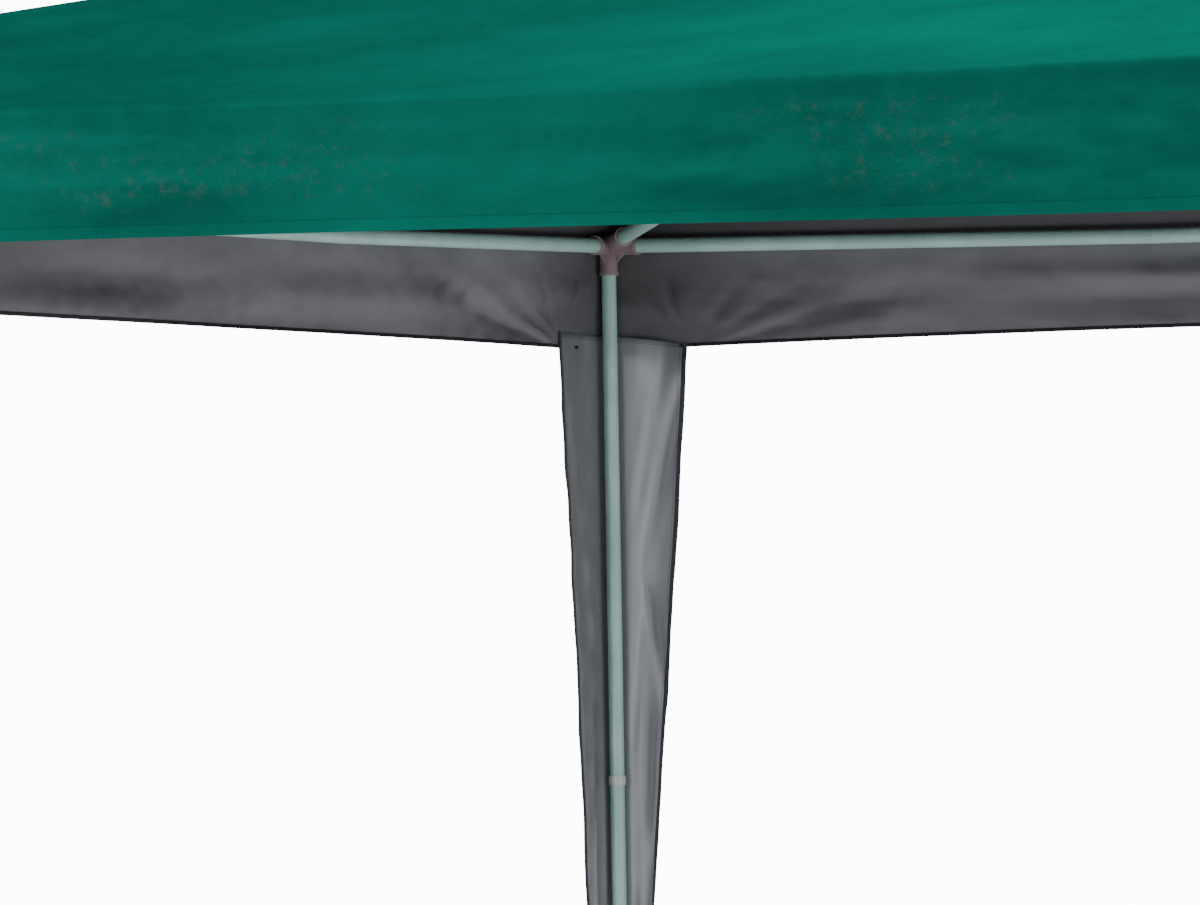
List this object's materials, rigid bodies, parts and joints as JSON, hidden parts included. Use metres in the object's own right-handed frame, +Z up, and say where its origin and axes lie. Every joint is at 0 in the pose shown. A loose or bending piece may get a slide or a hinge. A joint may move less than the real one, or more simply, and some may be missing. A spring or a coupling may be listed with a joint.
{
  "type": "garden gazebo",
  "caption": "Square push-fit garden gazebo: steel tube frame in moulded connectors, green pyramid canopy with a valance and tapered corner drapes.",
  "frame": {"origin": "on the ground at the middle of the four feet", "axes": "+Z up; the front side faces -Y; the sides run along X and Y"},
  "size_m": [3.076, 3.076, 2.3152],
  "materials": {
    "tube_paint": "satin pale grey powder coat",
    "connector_plastic": "moulded brown-grey plastic",
    "collar_plastic": "moulded light grey plastic",
    "foot_plastic": "moulded dark grey plastic",
    "canopy_cloth": "green coated polyester with a grey inner face",
    "drape_cloth": "light grey polyester with a dark binding",
    "tie_tape": "dark hook-and-loop tape"
  },
  "bodies": {
    "frame": {"corner_connector_front_left": "connector_plastic", "corner_connector_front_right": "connector_plastic", "corner_connector_back_right": "connector_plastic", "corner_connector_back_left": "connector_plastic", "leg_upper_front_left": "tube_paint", "leg_upper_front_right": "tube_paint", "leg_upper_back_right": "tube_paint", "leg_upper_back_left": "tube_paint", "eave_rail_front": "tube_paint", "eave_rail_right": "tube_paint", "eave_rail_back": "tube_paint", "eave_rail_left": "tube_paint", "hip_pole_lower_front_left": "tube_paint", "hip_pole_middle_front_left": "tube_paint", "hip_pole_upper_front_left": "tube_paint", "hip_pole_lower_front_right": "tube_paint", "hip_pole_middle_front_right": "tube_paint", "hip_pole_upper_front_right": "tube_paint", "hip_pole_lower_back_right": "tube_paint", "hip_pole_middle_back_right": "tube_paint", "hip_pole_upper_back_right": "tube_paint", "hip_pole_lower_back_left": "tube_paint", "hip_pole_middle_back_left": "tube_paint", "hip_pole_upper_back_left": "tube_paint", "peak_connector": "connector_plastic", "peak_cap": "foot_plastic"},
    "middle_leg_front_left": {"leg_middle_front_left": "tube_paint", "collar_upper_front_left": "collar_plastic"},
    "lower_leg_front_left": {"leg_lower_front_left": "tube_paint", "collar_lower_front_left": "collar_plastic", "foot_front_left": "foot_plastic"},
    "middle_leg_front_right": {"leg_middle_front_right": "tube_paint", "collar_upper_front_right": "collar_plastic"},
    "lower_leg_front_right": {"leg_lower_front_right": "tube_paint", "collar_lower_front_right": "collar_plastic", "foot_front_right": "foot_plastic"},
    "middle_leg_back_right": {"leg_middle_back_right": "tube_paint", "collar_upper_back_right": "collar_plastic"},
    "lower_leg_back_right": {"leg_lower_back_right": "tube_paint", "collar_lower_back_right": "collar_plastic", "foot_back_right": "foot_plastic"},
    "middle_leg_back_left": {"leg_middle_back_left": "tube_paint", "collar_upper_back_left": "collar_plastic"},
    "lower_leg_back_left": {"leg_lower_back_left": "tube_paint", "collar_lower_back_left": "collar_plastic", "foot_back_left": "foot_plastic"},
    "canopy": {"roof_panel_front": "canopy_cloth", "roof_panel_right": "canopy_cloth", "roof_panel_back": "canopy_cloth", "roof_panel_left": "canopy_cloth", "valance_front": "canopy_cloth", "valance_right": "canopy_cloth", "valance_back": "canopy_cloth", "valance_left": "canopy_cloth", "drape_front_left": "drape_cloth", "drape_front_right": "drape_cloth", "drape_back_right": "drape_cloth", "drape_back_left": "drape_cloth", "drape_ties": "tie_tape"}
  },
  "joints": [
    {"name": "middle_leg_pull_front_left", "type": "slide", "parent": "frame", "child": "middle_leg_front_left", "axis": [0, 0, -1], "range_m": [0, 0.06]},
    {"name": "lower_leg_pull_front_left", "type": "slide", "parent": "middle_leg_front_left", "child": "lower_leg_front_left", "axis": [0, 0, -1], "range_m": [0, 0.06]},
    {"name": "middle_leg_pull_front_right", "type": "slide", "parent": "frame", "child": "middle_leg_front_right", "axis": [0, 0, -1], "range_m": [0, 0.06]},
    {"name": "lower_leg_pull_front_right", "type": "slide", "parent": "middle_leg_front_right", "child": "lower_leg_front_right", "axis": [0, 0, -1], "range_m": [0, 0.06]},
    {"name": "middle_leg_pull_back_right", "type": "slide", "parent": "frame", "child": "middle_leg_back_right", "axis": [0, 0, -1], "range_m": [0, 0.06]},
    {"name": "lower_leg_pull_back_right", "type": "slide", "parent": "middle_leg_back_right", "child": "lower_leg_back_right", "axis": [0, 0, -1], "range_m": [0, 0.06]},
    {"name": "middle_leg_pull_back_left", "type": "slide", "parent": "frame", "child": "middle_leg_back_left", "axis": [0, 0, -1], "range_m": [0, 0.06]},
    {"name": "lower_leg_pull_back_left", "type": "slide", "parent": "middle_leg_back_left", "child": "lower_leg_back_left", "axis": [0, 0, -1], "range_m": [0, 0.06]},
    {"name": "canopy_lift", "type": "slide", "parent": "frame", "child": "canopy", "axis": [0, 0, 1], "range_m": [0, 0.15]}
  ]
}
